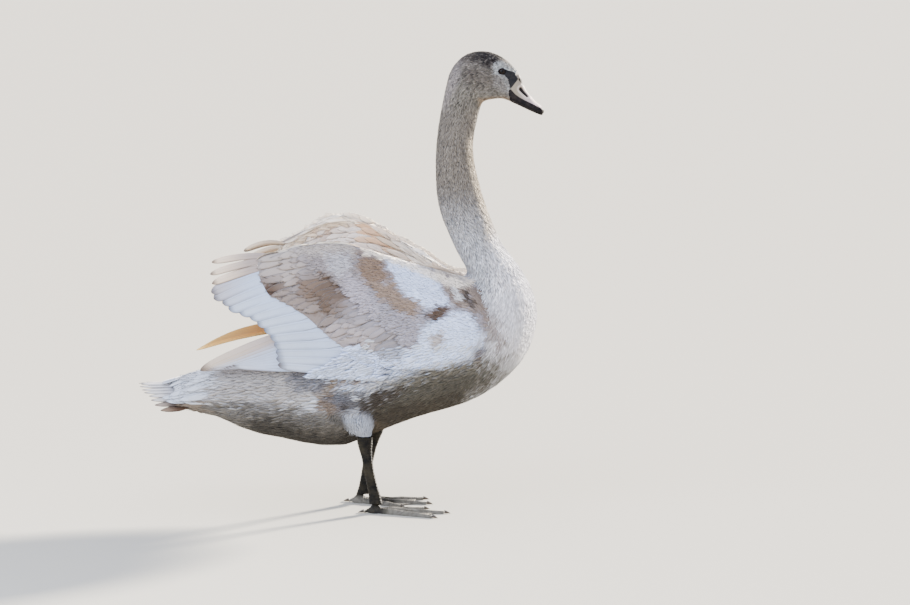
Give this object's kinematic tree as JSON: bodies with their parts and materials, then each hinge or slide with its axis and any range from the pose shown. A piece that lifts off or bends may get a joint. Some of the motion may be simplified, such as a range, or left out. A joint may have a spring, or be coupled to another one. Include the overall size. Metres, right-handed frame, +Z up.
{
  "type": "mute swan",
  "caption": "Life-size still model of a young mute swan standing on webbed feet, neck upright and wings arched half open over its back.",
  "frame": {"origin": "on the floor, under the middle of the bird's bounding box", "axes": "+X towards the bill, +Y to the bird's left, +Z up"},
  "size_m": [0.7822, 0.2818, 0.881],
  "materials": {
    "plumage": "soft matt feathers, brown-grey on beige and white",
    "quills": "matt white vanes with pale brown edges",
    "bill": "satin horn, grey-lilac",
    "mandible": "satin horn, black",
    "eye": "wet dark brown",
    "leg": "scaly skin, brown-grey to black",
    "claw": "dark horn"
  },
  "bodies": {
    "root": {"trunk": "plumage", "neck_lower": "plumage", "neck_upper": "plumage", "head": "plumage", "tail": "quills", "bill_upper": "bill", "bill_lower": "mandible", "eye_right": "eye", "wing_right_arm": "plumage", "wing_right_secondaries": "quills", "wing_right_primaries": "quills", "thigh_right": "plumage", "shank_right": "leg", "foot_right": "leg", "claw_right_inner": "claw", "claw_right_middle": "claw", "claw_right_outer": "claw", "claw_right_hind": "claw", "eye_left": "eye", "wing_left_arm": "plumage", "wing_left_secondaries": "quills", "wing_left_primaries": "quills", "thigh_left": "plumage", "shank_left": "leg", "foot_left": "leg", "claw_left_inner": "claw", "claw_left_middle": "claw", "claw_left_outer": "claw", "claw_left_hind": "claw"}
  },
  "joints": []
}
